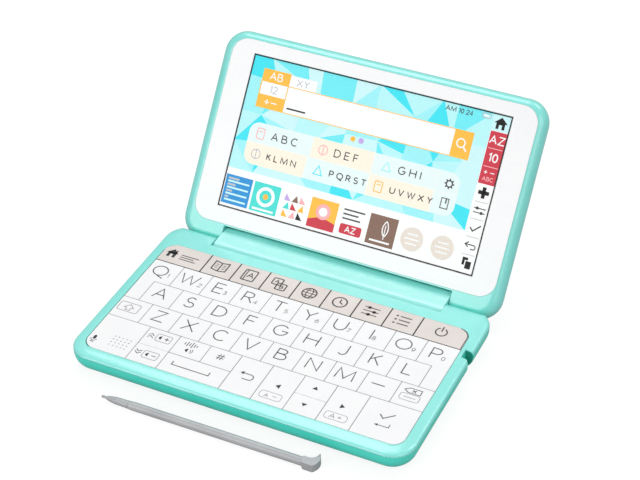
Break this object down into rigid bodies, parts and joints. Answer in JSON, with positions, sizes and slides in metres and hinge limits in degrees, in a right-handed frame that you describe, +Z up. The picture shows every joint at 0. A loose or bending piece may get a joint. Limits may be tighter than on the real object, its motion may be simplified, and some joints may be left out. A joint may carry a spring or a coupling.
{
  "type": "electronic dictionary",
  "caption": "Pocket clamshell electronic dictionary with a letter keyboard, a colour touch screen on a two-axis hinge, and a loose stylus that stows in the base.",
  "frame": {"origin": "on the table under the feet, midway across the width and midway between the foremost point of the stylus and the rearmost point of the open lid", "axes": "+X to the right along the hinge, +Y from the front of the keyboard towards the lid, +Z up"},
  "size_m": [0.133, 0.1448, 0.0702],
  "materials": {
    "mint_shell": "pearl gloss",
    "mint_shell_dark": "pearl gloss",
    "white_panel": "satin",
    "key_white": "satin",
    "key_beige": "satin",
    "mat_rubber": "matte",
    "board": "matte",
    "battery_foil": "satin",
    "pin_steel": "brushed",
    "screen_glass": "gloss",
    "stylus_grey": "satin"
  },
  "bodies": {
    "base": {"base_lower_case": "mint_shell_dark", "base_upper_case": "mint_shell", "speaker_panel": "white_panel", "key_mat": "mat_rubber", "main_board": "board", "battery": "battery_foil"},
    "hinge_link": {"hinge_bar": "mint_shell", "hinge_pins": "pin_steel"},
    "lid": {"lid_back_cover": "mint_shell", "lid_front_frame": "mint_shell", "lid_bezel": "white_panel", "display_panel": "screen_glass"},
    "stylus": {"stylus": "stylus_grey"},
    "key_home": {"key_home": "key_beige"},
    "key_f1": {"key_f1": "key_beige"},
    "key_f2": {"key_f2": "key_beige"},
    "key_f3": {"key_f3": "key_beige"},
    "key_f4": {"key_f4": "key_beige"},
    "key_f5": {"key_f5": "key_beige"},
    "key_f6": {"key_f6": "key_beige"},
    "key_f7": {"key_f7": "key_beige"},
    "key_power": {"key_power": "key_beige"},
    "key_q": {"key_q": "key_white"},
    "key_w": {"key_w": "key_white"},
    "key_e": {"key_e": "key_white"},
    "key_r": {"key_r": "key_white"},
    "key_t": {"key_t": "key_white"},
    "key_y": {"key_y": "key_white"},
    "key_u": {"key_u": "key_white"},
    "key_i": {"key_i": "key_white"},
    "key_o": {"key_o": "key_white"},
    "key_p": {"key_p": "key_white"},
    "key_a": {"key_a": "key_white"},
    "key_s": {"key_s": "key_white"},
    "key_d": {"key_d": "key_white"},
    "key_f": {"key_f": "key_white"},
    "key_g": {"key_g": "key_white"},
    "key_h": {"key_h": "key_white"},
    "key_j": {"key_j": "key_white"},
    "key_k": {"key_k": "key_white"},
    "key_l": {"key_l": "key_white"},
    "key_shift": {"key_shift": "key_white"},
    "key_z": {"key_z": "key_white"},
    "key_x": {"key_x": "key_white"},
    "key_c": {"key_c": "key_white"},
    "key_v": {"key_v": "key_white"},
    "key_b": {"key_b": "key_white"},
    "key_n": {"key_n": "key_white"},
    "key_m": {"key_m": "key_white"},
    "key_dash": {"key_dash": "key_white"},
    "key_delete": {"key_delete": "key_white"},
    "key_page": {"key_page": "key_white"},
    "key_voice": {"key_voice": "key_white"},
    "key_symbol": {"key_symbol": "key_white"},
    "key_space": {"key_space": "key_white"},
    "key_back": {"key_back": "key_white"},
    "key_left": {"key_left": "key_white"},
    "key_updown": {"key_updown": "key_white"},
    "key_right": {"key_right": "key_white"},
    "key_enter": {"key_enter": "key_white"}
  },
  "joints": [
    {"name": "hinge_bar_swing", "type": "hinge", "parent": "base", "child": "hinge_link", "pos_m": [0, 0.01551, 0.0057], "axis": [-1, 0, 0], "range_deg": [-85, 5]},
    {"name": "lid_swing", "type": "hinge", "parent": "hinge_link", "child": "lid", "pos_m": [0, 0.02376, 0.0057], "axis": [-1, 0, 0], "range_deg": [-41.1, 48.5]},
    {"name": "stylus_lift", "type": "slide", "parent": "base", "child": "stylus", "axis": [0, 0, 1], "range_m": [0, 0.06]},
    {"name": "key_home_press", "type": "slide", "parent": "base", "child": "key_home", "axis": [0, 0, -1], "range_m": [0, 0.0005], "stiffness_N_per_m": 300, "springref_m": -0.001},
    {"name": "key_f1_press", "type": "slide", "parent": "base", "child": "key_f1", "axis": [0, 0, -1], "range_m": [0, 0.0005], "stiffness_N_per_m": 300, "springref_m": -0.001},
    {"name": "key_f2_press", "type": "slide", "parent": "base", "child": "key_f2", "axis": [0, 0, -1], "range_m": [0, 0.0005], "stiffness_N_per_m": 300, "springref_m": -0.001},
    {"name": "key_f3_press", "type": "slide", "parent": "base", "child": "key_f3", "axis": [0, 0, -1], "range_m": [0, 0.0005], "stiffness_N_per_m": 300, "springref_m": -0.001},
    {"name": "key_f4_press", "type": "slide", "parent": "base", "child": "key_f4", "axis": [0, 0, -1], "range_m": [0, 0.0005], "stiffness_N_per_m": 300, "springref_m": -0.001},
    {"name": "key_f5_press", "type": "slide", "parent": "base", "child": "key_f5", "axis": [0, 0, -1], "range_m": [0, 0.0005], "stiffness_N_per_m": 300, "springref_m": -0.001},
    {"name": "key_f6_press", "type": "slide", "parent": "base", "child": "key_f6", "axis": [0, 0, -1], "range_m": [0, 0.0005], "stiffness_N_per_m": 300, "springref_m": -0.001},
    {"name": "key_f7_press", "type": "slide", "parent": "base", "child": "key_f7", "axis": [0, 0, -1], "range_m": [0, 0.0005], "stiffness_N_per_m": 300, "springref_m": -0.001},
    {"name": "key_power_press", "type": "slide", "parent": "base", "child": "key_power", "axis": [0, 0, -1], "range_m": [0, 0.0005], "stiffness_N_per_m": 300, "springref_m": -0.001},
    {"name": "key_q_press", "type": "slide", "parent": "base", "child": "key_q", "axis": [0, 0, -1], "range_m": [0, 0.0005], "stiffness_N_per_m": 300, "springref_m": -0.001},
    {"name": "key_w_press", "type": "slide", "parent": "base", "child": "key_w", "axis": [0, 0, -1], "range_m": [0, 0.0005], "stiffness_N_per_m": 300, "springref_m": -0.001},
    {"name": "key_e_press", "type": "slide", "parent": "base", "child": "key_e", "axis": [0, 0, -1], "range_m": [0, 0.0005], "stiffness_N_per_m": 300, "springref_m": -0.001},
    {"name": "key_r_press", "type": "slide", "parent": "base", "child": "key_r", "axis": [0, 0, -1], "range_m": [0, 0.0005], "stiffness_N_per_m": 300, "springref_m": -0.001},
    {"name": "key_t_press", "type": "slide", "parent": "base", "child": "key_t", "axis": [0, 0, -1], "range_m": [0, 0.0005], "stiffness_N_per_m": 300, "springref_m": -0.001},
    {"name": "key_y_press", "type": "slide", "parent": "base", "child": "key_y", "axis": [0, 0, -1], "range_m": [0, 0.0005], "stiffness_N_per_m": 300, "springref_m": -0.001},
    {"name": "key_u_press", "type": "slide", "parent": "base", "child": "key_u", "axis": [0, 0, -1], "range_m": [0, 0.0005], "stiffness_N_per_m": 300, "springref_m": -0.001},
    {"name": "key_i_press", "type": "slide", "parent": "base", "child": "key_i", "axis": [0, 0, -1], "range_m": [0, 0.0005], "stiffness_N_per_m": 300, "springref_m": -0.001},
    {"name": "key_o_press", "type": "slide", "parent": "base", "child": "key_o", "axis": [0, 0, -1], "range_m": [0, 0.0005], "stiffness_N_per_m": 300, "springref_m": -0.001},
    {"name": "key_p_press", "type": "slide", "parent": "base", "child": "key_p", "axis": [0, 0, -1], "range_m": [0, 0.0005], "stiffness_N_per_m": 300, "springref_m": -0.001},
    {"name": "key_a_press", "type": "slide", "parent": "base", "child": "key_a", "axis": [0, 0, -1], "range_m": [0, 0.0005], "stiffness_N_per_m": 300, "springref_m": -0.001},
    {"name": "key_s_press", "type": "slide", "parent": "base", "child": "key_s", "axis": [0, 0, -1], "range_m": [0, 0.0005], "stiffness_N_per_m": 300, "springref_m": -0.001},
    {"name": "key_d_press", "type": "slide", "parent": "base", "child": "key_d", "axis": [0, 0, -1], "range_m": [0, 0.0005], "stiffness_N_per_m": 300, "springref_m": -0.001},
    {"name": "key_f_press", "type": "slide", "parent": "base", "child": "key_f", "axis": [0, 0, -1], "range_m": [0, 0.0005], "stiffness_N_per_m": 300, "springref_m": -0.001},
    {"name": "key_g_press", "type": "slide", "parent": "base", "child": "key_g", "axis": [0, 0, -1], "range_m": [0, 0.0005], "stiffness_N_per_m": 300, "springref_m": -0.001},
    {"name": "key_h_press", "type": "slide", "parent": "base", "child": "key_h", "axis": [0, 0, -1], "range_m": [0, 0.0005], "stiffness_N_per_m": 300, "springref_m": -0.001},
    {"name": "key_j_press", "type": "slide", "parent": "base", "child": "key_j", "axis": [0, 0, -1], "range_m": [0, 0.0005], "stiffness_N_per_m": 300, "springref_m": -0.001},
    {"name": "key_k_press", "type": "slide", "parent": "base", "child": "key_k", "axis": [0, 0, -1], "range_m": [0, 0.0005], "stiffness_N_per_m": 300, "springref_m": -0.001},
    {"name": "key_l_press", "type": "slide", "parent": "base", "child": "key_l", "axis": [0, 0, -1], "range_m": [0, 0.0005], "stiffness_N_per_m": 300, "springref_m": -0.001},
    {"name": "key_shift_press", "type": "slide", "parent": "base", "child": "key_shift", "axis": [0, 0, -1], "range_m": [0, 0.0005], "stiffness_N_per_m": 300, "springref_m": -0.001},
    {"name": "key_z_press", "type": "slide", "parent": "base", "child": "key_z", "axis": [0, 0, -1], "range_m": [0, 0.0005], "stiffness_N_per_m": 300, "springref_m": -0.001},
    {"name": "key_x_press", "type": "slide", "parent": "base", "child": "key_x", "axis": [0, 0, -1], "range_m": [0, 0.0005], "stiffness_N_per_m": 300, "springref_m": -0.001},
    {"name": "key_c_press", "type": "slide", "parent": "base", "child": "key_c", "axis": [0, 0, -1], "range_m": [0, 0.0005], "stiffness_N_per_m": 300, "springref_m": -0.001},
    {"name": "key_v_press", "type": "slide", "parent": "base", "child": "key_v", "axis": [0, 0, -1], "range_m": [0, 0.0005], "stiffness_N_per_m": 300, "springref_m": -0.001},
    {"name": "key_b_press", "type": "slide", "parent": "base", "child": "key_b", "axis": [0, 0, -1], "range_m": [0, 0.0005], "stiffness_N_per_m": 300, "springref_m": -0.001},
    {"name": "key_n_press", "type": "slide", "parent": "base", "child": "key_n", "axis": [0, 0, -1], "range_m": [0, 0.0005], "stiffness_N_per_m": 300, "springref_m": -0.001},
    {"name": "key_m_press", "type": "slide", "parent": "base", "child": "key_m", "axis": [0, 0, -1], "range_m": [0, 0.0005], "stiffness_N_per_m": 300, "springref_m": -0.001},
    {"name": "key_dash_press", "type": "slide", "parent": "base", "child": "key_dash", "axis": [0, 0, -1], "range_m": [0, 0.0005], "stiffness_N_per_m": 300, "springref_m": -0.001},
    {"name": "key_delete_press", "type": "slide", "parent": "base", "child": "key_delete", "axis": [0, 0, -1], "range_m": [0, 0.0005], "stiffness_N_per_m": 300, "springref_m": -0.001},
    {"name": "key_page_rock", "type": "hinge", "parent": "base", "child": "key_page", "pos_m": [-0.03788, -0.04859, 0.00825], "axis": [1, 0, 0], "range_deg": [-2.5, 2.5], "stiffness_Nm_per_rad": 0.02},
    {"name": "key_voice_press", "type": "slide", "parent": "base", "child": "key_voice", "axis": [0, 0, -1], "range_m": [0, 0.0005], "stiffness_N_per_m": 300, "springref_m": -0.001},
    {"name": "key_symbol_press", "type": "slide", "parent": "base", "child": "key_symbol", "axis": [0, 0, -1], "range_m": [0, 0.0005], "stiffness_N_per_m": 300, "springref_m": -0.001},
    {"name": "key_space_press", "type": "slide", "parent": "base", "child": "key_space", "axis": [0, 0, -1], "range_m": [0, 0.0005], "stiffness_N_per_m": 300, "springref_m": -0.001},
    {"name": "key_back_press", "type": "slide", "parent": "base", "child": "key_back", "axis": [0, 0, -1], "range_m": [0, 0.0005], "stiffness_N_per_m": 300, "springref_m": -0.001},
    {"name": "key_left_press", "type": "slide", "parent": "base", "child": "key_left", "axis": [0, 0, -1], "range_m": [0, 0.0005], "stiffness_N_per_m": 300, "springref_m": -0.001},
    {"name": "key_updown_rock", "type": "hinge", "parent": "base", "child": "key_updown", "pos_m": [0.02422, -0.04859, 0.00825], "axis": [1, 0, 0], "range_deg": [-2.5, 2.5], "stiffness_Nm_per_rad": 0.02},
    {"name": "key_right_press", "type": "slide", "parent": "base", "child": "key_right", "axis": [0, 0, -1], "range_m": [0, 0.0005], "stiffness_N_per_m": 300, "springref_m": -0.001},
    {"name": "key_enter_press", "type": "slide", "parent": "base", "child": "key_enter", "axis": [0, 0, -1], "range_m": [0, 0.0005], "stiffness_N_per_m": 300, "springref_m": -0.001}
  ]
}
